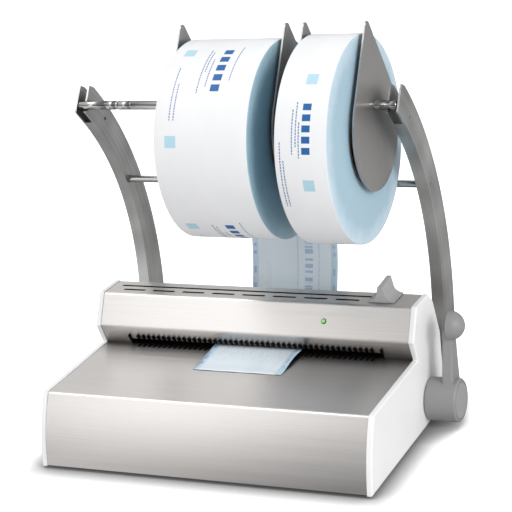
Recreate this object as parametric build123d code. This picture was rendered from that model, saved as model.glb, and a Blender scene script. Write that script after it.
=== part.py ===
from build123d import *
import math
import os

# Bench sealer for rolls of sterilisation pouch, with a roll holder behind it.
# Millimetres. X to the right, Y to the back, Z up. The origin is on the bench,
# at the middle of the housing's width and depth.

# Housing
housing_w = 376.0          # width of the steel covers between the side panels
housing_d = 238.0
panel_t = 6.0              # thickness of a side panel
panel_proud = 0.8          # how far a side panel stands out past the steel covers
panel_round = 2.0
foot_h = 3.0
foot_r = 8.0
foot_inset = 24.0
plate_t = 1.0              # bottom plate
plate_inset = 8.0
rear_t = 1.5               # rear cover
bend_r = 4.0               # bends of the steel covers

# Housing outline, seen from the side
table_front_set = 24.0     # how far the table's front bend lies behind the front foot of the cover
table_front_z = 81.0
table_rear_z = 84.0
table_len = 140.0
front_bulge = 4.0          # the front wall is curved forward by this much
undercut_out = 10.5        # how far the head overhangs the table's rear edge
head_low_z = 108.5
head_face_in = 19.0        # how far the head's front face leans back
head_top_z = 142.0
head_top_len = 38.5
shoulder_y = 104.4         # the rear slope's upper corner
shoulder_z = 129.5
rear_corner_z = 88.7       # the rear slope's lower corner

# Pouch gap and its comb guides
gap_half_w = 155.0
gap_h = 7.6
comb_bar_t = 1.3           # upper bar
comb_low_h = 1.3           # lower bar
comb_bar_depth = 9.0
comb_pitch = 6.5
comb_fin_t = 2.6
comb_fin_out = 8.6         # how far a fin stands out of the gap
comb_fin_lift = 6.2        # how far the upper fins' tips rise
comb_knee = 4.0            # from the upper bar's front to where the fins turn up
comb_fin_h = 0.9
comb_end_t = 1.6           # flared wall at each end
comb_end_space = 9.0       # from an end wall to the first fin
comb_lip = 0.5             # how far the bars stand out of the gap

# Seal jaws inside the gap
jaw_d = 6.0
jaw_t = 1.0
jaw_y = 70.0

# Slots in the head's top
slot_w = 4.0
cutter_slot_y = 78.5
cutter_slot_left = -177.0
cutter_slot_right = 166.0
slot_depth = 16.0
vent_y = 66.5
vent_left = -169.0
vent_len = 28.5
vent_pitch = 37.7
vent_count = 8
vent_depth = 6.0

# Status lamp
lamp_x = 88.3
lamp_up = 18.5             # along the head's front face from its lower edge
lamp_r = 3.0
lamp_depth = 5.0
lamp_out = 1.2

# Cutter
knob_w = 30.0
knob_d = 31.0
knob_forward = 1.5         # from the slot's middle to the grip's middle
knob_h = 20.5
knob_ridge = 4.6
knob_waist = 9.4           # width of the grip where its foot starts to flare
knob_waist_z = 9.0
knob_front_drop = 3.0      # how much lower the ridge is at its front end
knob_base_h = 1.5
knob_x = 150.0
slide_gap = 0.3
stem_len = 10.0
stem_depth = 11.0

# Lever
lever_y = 70.0
lever_z = 29.3
hub_r = 24.0
hub_gap = 0.3              # between hub and side panel
hub_len = 35.7
hub_edge = 1.8              # chamfer of the hub's rims
arm_in = 18.0              # hub's inner end to the arm's inner face
arm_t = 12.0
arm_low_w = 30.0
arm_top_w = 13.0
arm_waist = 1.2            # how far each edge curves in between its ends
arm_edge_r = 2.0
ball_r = 16.2
dome_steps = 10            # short steps of the dome's curve
ball_y = 80.0
ball_z = 112.5
ball_in = 26.0             # hub's inner end to the ball's centre
ball_flat_in = 1.0         # from the centre inward to the flat
cap_r = 19.8
cap_t = 1.2
cap_gap = 0.5
shaft_r = 6.0
shaft_gap = 0.05
shaft_in = 8.0             # how far the shaft reaches inside the side panel

# Roll arms, folded from sheet as channels that open to the rear
arm_inset = 2.0            # outer face to the side panel's outer face
channel_w = 13.5
channel_wall = 2.0
arm_belly_y = 145.2        # the arm's front face at its rearmost height
arm_belly_z = 143.0
arm_belly_d = 35.5         # depth of the arm there
arm_foot_z = 14.0
arm_foot_d = 40.5          # depth of the arm at its foot
arm_seat_h = 18.0          # height over which the foot lies against the housing's rear
web_top_y = 67.8
web_top_z = 341.5
horn_lip_y = 52.0
horn_lip_z = 358.0
horn_tip_y = 70.0
horn_tip_z = 384.0
horn_back_y = 79.0
horn_back_z = 379.5
horn_round = 2.5
arm_hole_r = 2.0           # hole in the inner wall, below the horn
arm_hole_y = 94.0
arm_hole_z = 339.0
pin_hole_r = 1.6           # holes in the outer wall
pin_hole_y = 85.5
pin_hole_z = 344.0
spacer_low_z = 55.0
spacer_high_z = 85.0
spacer_w = 9.5

# Rods
rod_r = 5.0
rod_y = 61.0
rod_z = 363.5
rod_gap = 0.1
rod_past = 1.0             # how far the upper rod reaches past the arms' inner walls
guide_rod_r = 4.0
guide_rod_z = 255.5
guide_rod_seat = 2.0       # from the arms' front web to the guide rod

# Rolls of pouch, hung on the upper rod and leaning on the guide rod
core_bore_r = 41.3
core_t = 3.0
hang_gap = 0.3             # from a roll to either rod
core_end_in = 1.0
wide_r = 107.0
wide_x0 = -39.5
wide_x1 = 67.0
narrow_r = 110.0
narrow_x0 = 99.5
narrow_x1 = 156.5

# Guide plates beside the rolls
guide_t = 1.8
guide_r = 65.6
guide_drop = 25.4          # rod to the centre of the round part
guide_tip_up = 89.0
guide_tip_r = 6.5
guide_gap = 5.0            # from a plate to the roll beside it
guide_wide_gap = 9.0       # from the leftmost plate to the wide roll
guide_hole_gap = 0.1

# Pouch web from the wide roll through the gap
web_t = 0.4
web_gap = 0.3
web_drift = (              # how far it has drifted to the right at a fraction of its length
    (0.0, 0.0),
    (0.1, 1.0),
    (0.2, 5.0),
    (0.3, 6.0),
    (0.4, 2.5),
    (0.5, -2.0),
    (0.56, -4.5),
    (0.83, -8.5),
    (1.0, -10.0),
)
web_arc_step = 12.0        # degrees of a bend per flat piece
web_belly = 23.5           # how far it hangs behind the housing
web_belly_z = 160.0
web_bend_r = 300.0
web_corner_r = 20.0
web_out = 59.6             # how far it comes out of the gap
web_lift = 25.0            # where it comes down onto the table

# Power inlet and switch on the rear cover
inlet_x = -120.0
inlet_z = 40.0
inlet_w = 30.0
inlet_h = 22.0
inlet_wall = 2.5
inlet_depth = 18.0
inlet_rim = 1.5
pin_len = 11.0
pin_r = 1.0
switch_x = -75.0
switch_w = 21.0
switch_h = 15.0
switch_depth = 8.0
switch_out = 3.0

# Places that follow from the sizes above
front_y = -housing_d / 2
back_y = housing_d / 2
housing_z = foot_h + plate_t
half_w = housing_w / 2
panel_x = half_w + panel_t
table_front_y = front_y + table_front_set
table_rear_y = table_front_y + table_len
head_low_y = table_rear_y - undercut_out
head_front_y = head_low_y + head_face_in
head_back_y = head_front_y + head_top_len
gap_z = table_rear_z
gap_top_z = gap_z + gap_h
rear_inner_y = back_y - rear_t
hub_x = panel_x + hub_gap
arm_half_x = panel_x - arm_inset
web_belly_y = back_y + web_belly
web_lift_y = table_rear_y - web_lift
web_front_y = table_rear_y - web_out


def side_face(*curves):
    """A face in the Y-Z plane, closed by the given curves."""
    return Plane.YZ * make_face(curves)


def across(face, x0, x1):
    """A Y-Z face carried from x0 to x1."""
    return Pos(x0, 0, 0) * extrude(face, amount=x1 - x0, dir=(1, 0, 0))


def slab(x0, x1, y0, y1, z0, z1):
    """A block between two corners."""
    return Pos((x0 + x1) / 2, (y0 + y1) / 2, (z0 + z1) / 2) * Box(x1 - x0, y1 - y0, z1 - z0)


def disc(r, x0, x1, y, z):
    """A cylinder along X."""
    return Pos((x0 + x1) / 2, y, z) * Rot(0, 90, 0) * Cylinder(r, x1 - x0)


def edges_at(solid, y, z, reach=0.2):
    """The straight X edges of a solid that pass through a Y-Z point."""
    return [
        e for e in solid.edges().filter_by(Axis.X)
        if abs(e.center().Y - y) < reach and abs(e.center().Z - z) < reach
    ]


def table_z(y):
    """Height of the table at a distance from the origin."""
    return table_front_z + (table_rear_z - table_front_z) * (y - table_front_y) / table_len


# The housing's lower part: curved front, table and the floor of the pouch gap
front_mid = (
    (front_y + table_front_y) / 2 - front_bulge,
    (housing_z + table_front_z) / 2 + front_bulge * 0.3,
)


def front_curve():
    """The curved front wall, from its foot to the table's front bend."""
    return ThreePointArc((front_y, housing_z), front_mid, (table_front_y, table_front_z))


base_face = side_face(
    front_curve(),
    Polyline(
        (table_front_y, table_front_z),
        (table_rear_y, table_rear_z),
        (rear_inner_y, table_rear_z),
        (rear_inner_y, housing_z),
        (front_y, housing_z),
    ),
)
base_cover = across(base_face, -half_w, half_w)
base_cover = fillet(edges_at(base_cover, table_front_y, table_front_z), bend_r)
shaft_pocket = disc(shaft_r + 2, half_w - shaft_in - 1, half_w + 1, lever_y, lever_z)
inlet_pocket = slab(
    inlet_x - inlet_w / 2, inlet_x + inlet_w / 2, back_y - inlet_depth, back_y + 1,
    inlet_z - inlet_h / 2, inlet_z + inlet_h / 2,
)
switch_pocket = slab(
    switch_x - switch_w / 2, switch_x + switch_w / 2, back_y - switch_depth, back_y + 1,
    inlet_z - switch_h / 2, inlet_z + switch_h / 2,
)
base_cover = base_cover - shaft_pocket - inlet_pocket - switch_pocket

base_plate = slab(
    -half_w + plate_inset, half_w - plate_inset, front_y + plate_inset, back_y - plate_inset,
    foot_h, housing_z,
)

feet = [
    Pos(sx * (half_w - foot_inset), sy * (back_y - foot_inset), foot_h / 2) * Cylinder(foot_r, foot_h)
    for sx in (-1, 1)
    for sy in (-1, 1)
]

rear_cover = slab(-half_w, half_w, rear_inner_y, back_y, housing_z, table_rear_z)
rear_cover = rear_cover - inlet_pocket - switch_pocket

# The sealing head over the gap
head_face = side_face(
    Polyline(
        (table_rear_y, table_rear_z),
        (head_low_y, head_low_z),
        (head_front_y, head_top_z),
        (head_back_y, head_top_z),
        (shoulder_y, shoulder_z),
        (back_y, rear_corner_z),
        (back_y, table_rear_z),
        (table_rear_y, table_rear_z),
    )
)
head_cover = across(head_face, -half_w, half_w)
head_cover = fillet(
    edges_at(head_cover, head_low_y, head_low_z) + edges_at(head_cover, head_front_y, head_top_z), bend_r
)
head_cover = head_cover - slab(-gap_half_w, gap_half_w, head_low_y - 1, back_y + 1, gap_z - 1, gap_top_z)


def top_slot(x0, x1, y, depth):
    """A slot with round ends, cut down from the head's top."""
    shape = Pos((x0 + x1) / 2, y, head_top_z) * SlotOverall(x1 - x0, slot_w)
    return extrude(shape, amount=-depth, dir=(0, 0, 1))


head_cover = head_cover - top_slot(cutter_slot_left, cutter_slot_right, cutter_slot_y, slot_depth)
for i in range(vent_count):
    vent_x = vent_left + i * vent_pitch
    head_cover = head_cover - top_slot(vent_x, vent_x + vent_len, vent_y, vent_depth)

# Status lamp, square to the head's front face
face_rise = head_top_z - head_low_z
face_len = math.hypot(head_face_in, face_rise)
lamp_y = head_low_y + lamp_up * head_face_in / face_len
lamp_z = head_low_z + lamp_up * face_rise / face_len
lamp_tilt = math.degrees(math.atan2(face_rise, head_face_in))
lamp_place = Pos(lamp_x, lamp_y, lamp_z) * Rot(lamp_tilt, 0, 0)
lamp_hole = lamp_place * Pos(0, 0, (1 - lamp_depth) / 2) * Cylinder(lamp_r, lamp_depth + 1)
head_cover = head_cover - lamp_hole
lamp_body = Pos(0, 0, (lamp_out - lamp_depth) / 2) * Cylinder(lamp_r, lamp_depth + lamp_out)
status_lamp = lamp_place * chamfer(lamp_body.edges().sort_by(Axis.Z)[-1], lamp_out * 0.7)

# White side panels, a little proud of the covers and rounded on the outside
panel_outline = make_face(
    [
        front_curve(),
        Polyline(
            (table_front_y, table_front_z),
            (table_rear_y, table_rear_z),
            (head_low_y, head_low_z),
            (head_front_y, head_top_z),
            (head_back_y, head_top_z),
            (shoulder_y, shoulder_z),
            (back_y, rear_corner_z),
            (back_y, housing_z),
            (front_y, housing_z),
        ),
    ]
)
panel_face = Plane.YZ * offset(panel_outline, amount=panel_proud, kind=Kind.INTERSECTION)
panel_right = across(panel_face, half_w, panel_x)
panel_right = fillet(panel_right.faces().sort_by(Axis.X)[-1].edges(), panel_round)
side_panel_left = mirror(panel_right, Plane.YZ)
side_panel_right = panel_right - disc(shaft_r + shaft_gap, half_w - 1, panel_x + 1, lever_y, lever_z)

# Comb guides: bars in the gap with fins that flare out over the undercut and the table.
# The upper one has a wall at each end that closes the gap.
undercut_rise = head_low_z - table_rear_z


def undercut_y(z):
    """The undercut's surface at a height."""
    return table_rear_y - undercut_out * (z - table_rear_z) / undercut_rise


bar_back = table_rear_y + comb_bar_depth
fin_root_z = gap_top_z - comb_bar_t
fin_top_z = fin_root_z + comb_fin_lift + comb_fin_h
fin_tip_y = table_rear_y - comb_fin_out
upper_front = table_rear_y - comb_lip
upper_profile = side_face(
    Polyline(
        (bar_back, fin_root_z),
        (upper_front, fin_root_z),
        (upper_front - comb_knee, gap_top_z),
        (fin_tip_y, fin_root_z + comb_fin_lift),
        (fin_tip_y + 1, fin_root_z + comb_fin_lift + comb_fin_h / 2),
        (undercut_y(fin_top_z), fin_top_z),
        (undercut_y(gap_top_z), gap_top_z),
        (bar_back, gap_top_z),
        (bar_back, fin_root_z),
    )
)
lower_profile = side_face(
    Polyline(
        (bar_back, table_rear_z),
        (table_rear_y, table_rear_z),
        (fin_tip_y, table_z(fin_tip_y)),
        (table_rear_y - comb_lip, gap_z + comb_low_h),
        (bar_back, gap_z + comb_low_h),
        (bar_back, table_rear_z),
    )
)
fin_span = 2 * (gap_half_w - comb_end_t - comb_end_space)
fin_count = int((fin_span - comb_fin_t) // comb_pitch) + 1
fin_places = [(i - (fin_count - 1) / 2) * comb_pitch for i in range(fin_count)]
wall_x = gap_half_w - comb_end_t
fin_starts = [x - comb_fin_t / 2 for x in fin_places] + [wall_x]
fin_ends = [-wall_x] + [x + comb_fin_t / 2 for x in fin_places]


def spaces(bar_front):
    """The spaces between the fins, cut back to the bar."""
    return [slab(x0, x1, fin_tip_y - 1, bar_front, gap_z - 5, fin_top_z + 1) for x0, x1 in zip(fin_ends, fin_starts)]


wall_profile = side_face(
    Polyline(
        (bar_back, gap_z),
        (table_rear_y, gap_z),
        (fin_tip_y, fin_root_z + comb_fin_lift),
        (fin_tip_y + 1, fin_root_z + comb_fin_lift + comb_fin_h / 2),
        (undercut_y(fin_top_z), fin_top_z),
        (undercut_y(gap_top_z), gap_top_z),
        (bar_back, gap_top_z),
        (bar_back, gap_z),
    )
)
comb_upper = across(upper_profile, -wall_x, wall_x) - spaces(upper_front)
comb_upper = comb_upper + across(wall_profile, wall_x, gap_half_w) + across(wall_profile, -gap_half_w, -wall_x)
lower_x = fin_ends[-1]
comb_lower = across(lower_profile, -lower_x, lower_x) - spaces(table_rear_y)

seal_jaw_upper = slab(-gap_half_w, gap_half_w, jaw_y, jaw_y + jaw_d, gap_top_z - jaw_t, gap_top_z)
seal_jaw_lower = slab(-gap_half_w, gap_half_w, jaw_y, jaw_y + jaw_d, gap_z, gap_z + jaw_t)

# Cutter knob: an upright grip with a narrow ridge along Y and a flared foot, and its stem in the slot
knob_z = head_top_z + slide_gap
knob_flare_x = knob_waist / 2 + 0.29 * (knob_w - knob_waist) / 2
knob_flare_z = knob_base_h + 0.36 * (knob_waist_z - knob_base_h)
knob_profile = make_face(
    [
        Polyline((-knob_w / 2, knob_base_h), (-knob_w / 2, 0), (knob_w / 2, 0), (knob_w / 2, knob_base_h)),
        ThreePointArc((knob_w / 2, knob_base_h), (knob_flare_x, knob_flare_z), (knob_waist / 2, knob_waist_z)),
        Polyline(
            (knob_waist / 2, knob_waist_z), (knob_ridge / 2, knob_h),
            (-knob_ridge / 2, knob_h), (-knob_waist / 2, knob_waist_z),
        ),
        ThreePointArc((-knob_waist / 2, knob_waist_z), (-knob_flare_x, knob_flare_z), (-knob_w / 2, knob_base_h)),
    ]
)
knob_front = cutter_slot_y - knob_forward - knob_d / 2
knob_back = knob_front + knob_d
knob_plane = Plane(origin=(knob_x, knob_front, knob_z), x_dir=(1, 0, 0), z_dir=(0, -1, 0))
cutter_knob = extrude(knob_plane * knob_profile, amount=-knob_d)
ridge_cut = side_face(
    Polyline(
        (knob_front - 1, knob_z + knob_h - knob_front_drop),
        (knob_front, knob_z + knob_h - knob_front_drop),
        (knob_back, knob_z + knob_h),
        (knob_back, knob_z + knob_h + 5),
        (knob_front - 1, knob_z + knob_h + 5),
        (knob_front - 1, knob_z + knob_h - knob_front_drop),
    )
)
cutter_knob = cutter_knob - across(ridge_cut, knob_x - knob_w, knob_x + knob_w)
cutter_stem = slab(
    knob_x - stem_len / 2, knob_x + stem_len / 2,
    cutter_slot_y - slot_w / 2 + slide_gap, cutter_slot_y + slot_w / 2 - slide_gap,
    knob_z - stem_depth, knob_z,
)

# Lever: hub and arm in one piece, half ball, cap and shaft
hub_end = hub_x + hub_len
arm_x0 = hub_x + arm_in
arm_x1 = arm_x0 + arm_t
hub = disc(hub_r, hub_x, hub_end, lever_y, lever_z)
hub = chamfer(hub.edges().filter_by(GeomType.CIRCLE), hub_edge)
arm_base_z = lever_z + 10
arm_end_z = ball_z - 6
arm_mid_y = (lever_y + ball_y) / 2
arm_mid_z = (arm_base_z + arm_end_z) / 2
arm_mid_w = (arm_low_w + arm_top_w) / 2 - 2 * arm_waist
arm_low_front = (lever_y - arm_low_w / 2 + 2, arm_base_z)
arm_low_back = (lever_y + arm_low_w / 2 + 4, arm_base_z)
arm_top_front = (ball_y - arm_top_w / 2, arm_end_z)
arm_top_back = (ball_y + arm_top_w / 2, arm_end_z)
arm_face = side_face(
    ThreePointArc(arm_low_front, (arm_mid_y - arm_mid_w / 2, arm_mid_z), arm_top_front),
    Line(arm_top_front, arm_top_back),
    ThreePointArc(arm_top_back, (arm_mid_y + arm_mid_w / 2 + 2, arm_mid_z), arm_low_back),
    Line(arm_low_back, arm_low_front),
)
arm_bar = across(arm_face, arm_x0, arm_x1)
arm = fillet(arm_bar.edges().filter_by(GeomType.CIRCLE), arm_edge_r)
lever_arm = hub + arm
cap_recess = disc(cap_r + cap_gap, hub_end - cap_t, hub_end + 1, lever_y, lever_z)
shaft_bore = disc(shaft_r, hub_x - 1, hub_x + arm_in, lever_y, lever_z)
lever_arm = lever_arm - cap_recess - shaft_bore
lever_cap = disc(cap_r, hub_end - cap_t, hub_end, lever_y, lever_z)
lever_shaft = disc(shaft_r, half_w - shaft_in, hub_x + arm_in, lever_y, lever_z)
ball_x = hub_x + ball_in
flat_angle = math.asin(ball_flat_in / ball_r)
dome_angles = [(math.pi / 2 + flat_angle) * i / dome_steps - flat_angle for i in range(dome_steps + 1)]
dome_curve = Polyline([(ball_r * math.sin(a), ball_r * math.cos(a)) for a in dome_angles])
flat_edge = (-ball_flat_in, ball_r * math.cos(flat_angle))
dome_face = make_face(Plane.XY * (dome_curve + Polyline((ball_r, 0), (-ball_flat_in, 0), flat_edge)))
lever_knob = Pos(ball_x, ball_y, ball_z) * revolve(dome_face, Axis.X) - arm_bar

# Roll arms: two arcs bound the channel in side view
wall_y = back_y + panel_proud
front_foot = (wall_y, arm_foot_z + arm_seat_h)
front_belly = (arm_belly_y, arm_belly_z)
web_top = (web_top_y, web_top_z)
back_foot = (wall_y + arm_foot_d, arm_foot_z)
back_belly = (arm_belly_y + arm_belly_d, arm_belly_z)
horn_back = (horn_back_y, horn_back_z)


def circle_through(p, q, r):
    """Centre and radius of the circle through three points."""
    (py, pz), (qy, qz), (ry, rz) = p, q, r
    turn = 2 * (py * (qz - rz) + qy * (rz - pz) + ry * (pz - qz))
    sums = [y * y + z * z for y, z in (p, q, r)]
    cy = (sums[0] * (qz - rz) + sums[1] * (rz - pz) + sums[2] * (pz - qz)) / turn
    cz = (sums[0] * (ry - qy) + sums[1] * (py - ry) + sums[2] * (qy - py)) / turn
    return cy, cz, math.hypot(py - cy, pz - cz)


front_arc_y, front_arc_z, front_arc_r = circle_through(front_foot, front_belly, web_top)


def on_front(height, inward=0.0):
    """A point of the arm's front face, or of a face that lies inward of it, at a height."""
    r = front_arc_r + inward
    return (front_arc_y + math.sqrt(r**2 - (height - front_arc_z) ** 2), height)


arm_profile = side_face(
    Line((wall_y, arm_foot_z), front_foot),
    ThreePointArc(front_foot, front_belly, web_top),
    Polyline(web_top, (horn_lip_y, horn_lip_z), (horn_tip_y, horn_tip_z), horn_back),
    ThreePointArc(horn_back, back_belly, back_foot),
    Line(back_foot, (wall_y, arm_foot_z)),
)
arm_inner_x = arm_half_x - channel_w
pocket_x0 = arm_inner_x + channel_wall
pocket_x1 = arm_half_x - channel_wall
far_y = back_belly[0] + 20
far_z = horn_tip_z + 20
channel = across(arm_profile, arm_inner_x, arm_half_x)
for corner in ((horn_lip_y, horn_lip_z), (horn_tip_y, horn_tip_z), horn_back):
    channel = fillet(edges_at(channel, *corner), horn_round)
pocket = slab(pocket_x0, pocket_x1, 0, far_y, arm_foot_z - 1, far_z)
pocket = pocket - disc(front_arc_r + channel_wall, pocket_x0 - 1, pocket_x1 + 1, front_arc_y, front_arc_z)
pocket = pocket - slab(pocket_x0 - 1, pocket_x1 + 1, 0, wall_y + channel_wall, 0, front_foot[1] + arm_seat_h)
pocket = pocket + slab(pocket_x0, pocket_x1, 0, far_y, web_top_z, far_z)
guide_rod_y = on_front(guide_rod_z, channel_wall)[0] + guide_rod_seat + guide_rod_r
notch_r = rod_r + rod_gap
notch = disc(notch_r, arm_inner_x - 1, pocket_x1, rod_y, rod_z)
notch = notch + slab(arm_inner_x - 1, pocket_x1, horn_lip_y - 5, rod_y, rod_z - notch_r, rod_z + notch_r)
guide_hole = disc(guide_rod_r + rod_gap, arm_inner_x - 1, pocket_x1, guide_rod_y, guide_rod_z)
arm_hole = disc(arm_hole_r, arm_inner_x - 1, pocket_x0 + 1, arm_hole_y, arm_hole_z)
pin_hole = disc(pin_hole_r, pocket_x1 - 1, arm_half_x + 1, pin_hole_y, pin_hole_z)
rod_pin_hole = disc(pin_hole_r, pocket_x1 - 1, arm_half_x + 1, guide_rod_y, guide_rod_z)
roll_arm_right = channel - pocket - notch - guide_hole - arm_hole - pin_hole - rod_pin_hole
roll_arm_left = mirror(roll_arm_right, Plane.YZ)

spacer_face = side_face(
    Polyline(
        on_front(spacer_low_z), (back_y, spacer_low_z), (back_y, spacer_high_z), on_front(spacer_high_z)
    ),
    ThreePointArc(on_front(spacer_high_z), on_front((spacer_low_z + spacer_high_z) / 2), on_front(spacer_low_z)),
)
arm_spacer_right = across(spacer_face, arm_inner_x, arm_inner_x + spacer_w)
arm_spacer_left = mirror(arm_spacer_right, Plane.YZ)

rod_end = pocket_x0 + rod_past
roll_rod = disc(rod_r, -rod_end, rod_end, rod_y, rod_z)
guide_rod = disc(guide_rod_r, -pocket_x1, pocket_x1, guide_rod_y, guide_rod_z)

# Rolls: a card core and the winding on it
core_r = core_bore_r + core_t


def roll_centre(r):
    """Where a roll comes to rest: its core on the upper rod, its outside on the guide rod."""
    hang = core_bore_r - rod_r - hang_gap
    lean = r + guide_rod_r + hang_gap
    dy, dz = guide_rod_y - rod_y, guide_rod_z - rod_z
    span = math.hypot(dy, dz)
    along = (hang**2 - lean**2 + span**2) / (2 * span)
    off = math.sqrt(hang**2 - along**2)
    return rod_y + (along * dy + off * dz) / span, rod_z + (along * dz - off * dy) / span


def roll_core(x0, x1, centre):
    """The card tube that a roll is wound on."""
    x0, x1 = x0 + core_end_in, x1 - core_end_in
    return disc(core_r, x0, x1, *centre) - disc(core_bore_r, x0 - 1, x1 + 1, *centre)


def roll_winding(r, x0, x1, centre):
    """The wound pouch."""
    return disc(r, x0, x1, *centre) - disc(core_r, x0 - 1, x1 + 1, *centre)


wide_centre = roll_centre(wide_r)
narrow_centre = roll_centre(narrow_r)
wide_core = roll_core(wide_x0, wide_x1, wide_centre)
wide_winding = roll_winding(wide_r, wide_x0, wide_x1, wide_centre)
narrow_core = roll_core(narrow_x0, narrow_x1, narrow_centre)
narrow_winding = roll_winding(narrow_r, narrow_x0, narrow_x1, narrow_centre)

# Guide plates hang on the rod beside the rolls
round_z = rod_z - guide_drop
tip_z = rod_z + guide_tip_up - guide_tip_r
flank_angle = math.asin((guide_r - guide_tip_r) / (tip_z - round_z))


def flank(r, z, side):
    """Where a straight flank touches the round part or the tip."""
    return (rod_y + side * r * math.cos(flank_angle), z + r * math.sin(flank_angle))


guide_face = side_face(
    ThreePointArc(flank(guide_r, round_z, -1), (rod_y, round_z - guide_r), flank(guide_r, round_z, 1)),
    Line(flank(guide_r, round_z, 1), flank(guide_tip_r, tip_z, 1)),
    ThreePointArc(flank(guide_tip_r, tip_z, 1), (rod_y, tip_z + guide_tip_r), flank(guide_tip_r, tip_z, -1)),
    Line(flank(guide_tip_r, tip_z, -1), flank(guide_r, round_z, -1)),
)
guide_places = [
    wide_x0 - guide_wide_gap - guide_t,
    wide_x1 + guide_gap,
    narrow_x0 - guide_gap - guide_t,
    narrow_x1 + guide_gap,
]
guide_plates = []
for x in guide_places:
    plate = across(guide_face, x, x + guide_t)
    guide_plates.append(plate - disc(rod_r + guide_hole_gap, x - 1, x + guide_t + 1, rod_y, rod_z))

# Pouch web: off the back of the wide roll, behind the guide rod, through the gap and onto the table
web_r = wide_r + web_gap + web_t
rod_wrap_r = guide_rod_r + web_gap + web_t
rod_back_y = guide_rod_y + rod_wrap_r
run_y = rod_back_y - wide_centre[0]
run_z = guide_rod_z - wide_centre[1]
run_angle = math.atan2(run_z, run_y)
leave_angle = run_angle + math.acos(web_r / math.hypot(run_y, run_z))
leave = (wide_centre[0] + web_r * math.cos(leave_angle), wide_centre[1] + web_r * math.sin(leave_angle))
web_z = gap_z + comb_low_h + web_gap / 2
web_path = Plane.YZ * FilletPolyline(
    leave,
    (rod_back_y, guide_rod_z),
    (web_belly_y, web_belly_z),
    (web_belly_y, web_z),
    (table_rear_y - 1, web_z),
    (web_lift_y, table_z(web_lift_y) + web_gap / 2),
    (web_front_y, table_z(web_front_y) + web_gap / 2),
    radius=[rod_wrap_r, web_bend_r, web_corner_r, 6, 6],
)


def web_cuts():
    """Fractions of the web's length at which it is cut into flat pieces."""
    done = 0.0
    cuts = [0.0]
    for edge in web_path.edges():
        steps = 1
        if edge.geom_type == GeomType.CIRCLE:
            steps = math.ceil(math.degrees(edge.length / edge.radius) / web_arc_step)
        cuts += [(done + edge.length * (i + 1) / steps) / web_path.length for i in range(steps)]
        done += edge.length
    knots = [t for t, d in web_drift if min(abs(t - c) for c in cuts) > 0.004]
    return sorted(cuts[:-1] + [1.0] + knots)


def drift(t):
    """How far the web has drifted to the right at a fraction of its length."""
    for (t0, d0), (t1, d1) in zip(web_drift, web_drift[1:]):
        if t <= t1:
            return d0 + (d1 - d0) * (t - t0) / (t1 - t0)


def web_section(t):
    """The web's thin section at a fraction of its length."""
    place = web_path @ t
    run = web_path % t
    x0, x1 = wide_x0 + drift(t), wide_x1 + drift(t)
    inner_y, inner_z = place.Y + run.Z * web_t, place.Z - run.Y * web_t
    corners = [(x0, place.Y, place.Z), (x1, place.Y, place.Z), (x1, inner_y, inner_z), (x0, inner_y, inner_z)]
    return Wire.make_polygon(corners, close=True)


pouch_web = Solid.make_loft([web_section(t) for t in web_cuts()], ruled=True)

# Power inlet and switch on the rear cover
inlet_shell = slab(
    inlet_x - inlet_w / 2, inlet_x + inlet_w / 2, back_y - inlet_depth, back_y + inlet_rim,
    inlet_z - inlet_h / 2, inlet_z + inlet_h / 2,
)
inlet_cavity = slab(
    inlet_x - inlet_w / 2 + inlet_wall, inlet_x + inlet_w / 2 - inlet_wall,
    back_y - inlet_depth + inlet_wall, back_y + inlet_rim + 1,
    inlet_z - inlet_h / 2 + inlet_wall, inlet_z + inlet_h / 2 - inlet_wall,
)
power_inlet = inlet_shell - inlet_cavity
for dx, dz in ((-7, -2), (7, -2), (0, 3)):
    pin_y = back_y - inlet_depth + inlet_wall
    power_inlet = power_inlet + slab(
        inlet_x + dx - pin_r, inlet_x + dx + pin_r, pin_y - 0.5, pin_y + pin_len,
        inlet_z + dz - 2 * pin_r, inlet_z + dz + 2 * pin_r,
    )
switch_body = slab(
    switch_x - switch_w / 2, switch_x + switch_w / 2, back_y - switch_depth, back_y + switch_out,
    inlet_z - switch_h / 2, inlet_z + switch_h / 2,
)
rocker_dip = disc(40.0, switch_x - 50, switch_x + 50, back_y + 41.2, inlet_z)
power_switch = switch_body - (rocker_dip & slab(
    switch_x - switch_w / 2 + 2, switch_x + switch_w / 2 - 2, back_y, back_y + 9,
    inlet_z - switch_h / 2 + 2, inlet_z + switch_h / 2 - 2,
))

pieces = {
    "base_cover": base_cover,
    "base_plate": base_plate,
    "feet": Compound(feet),
    "rear_cover": rear_cover,
    "head_cover": head_cover,
    "side_panel_left": side_panel_left,
    "side_panel_right": side_panel_right,
    "comb_upper": comb_upper,
    "comb_lower": comb_lower,
    "seal_jaw_upper": seal_jaw_upper,
    "seal_jaw_lower": seal_jaw_lower,
    "status_lamp": status_lamp,
    "power_inlet": power_inlet,
    "power_switch": power_switch,
    "roll_arm_left": roll_arm_left,
    "roll_arm_right": roll_arm_right,
    "arm_spacer_left": arm_spacer_left,
    "arm_spacer_right": arm_spacer_right,
    "roll_rod": roll_rod,
    "guide_rod": guide_rod,
    "guide_plate_1": guide_plates[0],
    "guide_plate_2": guide_plates[1],
    "guide_plate_3": guide_plates[2],
    "guide_plate_4": guide_plates[3],
    "pouch_web": pouch_web,
    "lever_arm": lever_arm,
    "lever_knob": lever_knob,
    "lever_cap": lever_cap,
    "lever_shaft": lever_shaft,
    "cutter_knob": cutter_knob,
    "cutter_stem": cutter_stem,
    "wide_winding": wide_winding,
    "wide_core": wide_core,
    "narrow_winding": narrow_winding,
    "narrow_core": narrow_core,
}

os.makedirs("parts", exist_ok=True)
for name, shape in pieces.items():
    export_step(shape, f"parts/{name}.step")
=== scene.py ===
import math

import bmesh
import bpy
from mathutils import Matrix, Vector


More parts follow.
